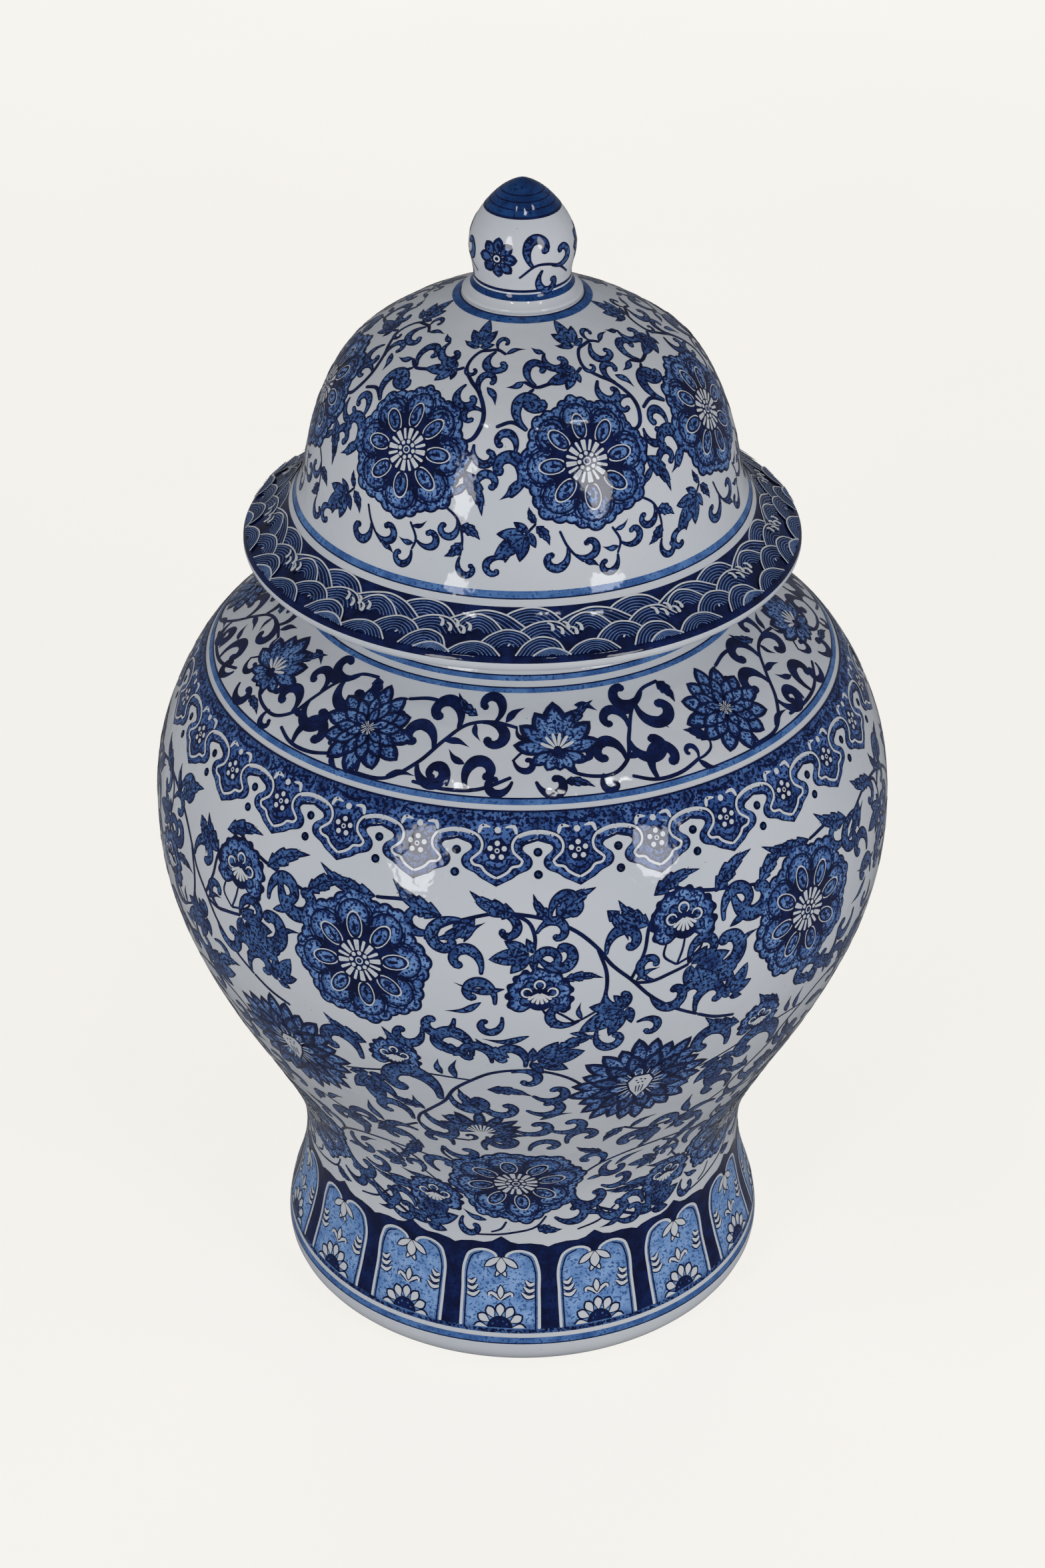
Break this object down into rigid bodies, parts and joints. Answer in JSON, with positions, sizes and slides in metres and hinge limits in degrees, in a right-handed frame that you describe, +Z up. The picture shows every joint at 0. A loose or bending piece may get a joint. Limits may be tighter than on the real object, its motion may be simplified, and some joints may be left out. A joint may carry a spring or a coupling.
{
  "type": "covered ginger jar",
  "caption": "Large covered temple-style ginger jar in blue and white porcelain with a lift-off bell-shaped lid and bud knob.",
  "frame": {"origin": "centre of the foot ring's resting plane", "axes": "+Z up along the jar's axis of revolution, from the foot to the knob; X and Y are equivalent"},
  "size_m": [0.2786, 0.2786, 0.46],
  "materials": {
    "painted_porcelain": "clear glossy glaze over cobalt blue painting",
    "white_porcelain": "clear glossy glaze over white porcelain",
    "bare_porcelain": "unglazed, matte"
  },
  "bodies": {
    "jar": {"foot_ring": "white_porcelain", "lower_body": "painted_porcelain", "upper_body": "painted_porcelain", "neck_ring": "white_porcelain"},
    "lid": {"lid_dome": "painted_porcelain", "lid_locating_ring": "bare_porcelain", "lid_knob": "painted_porcelain"}
  },
  "joints": [
    {"name": "lid_lift", "type": "slide", "parent": "jar", "child": "lid", "axis": [0, 0, 1], "range_m": [0, 0.08]}
  ]
}
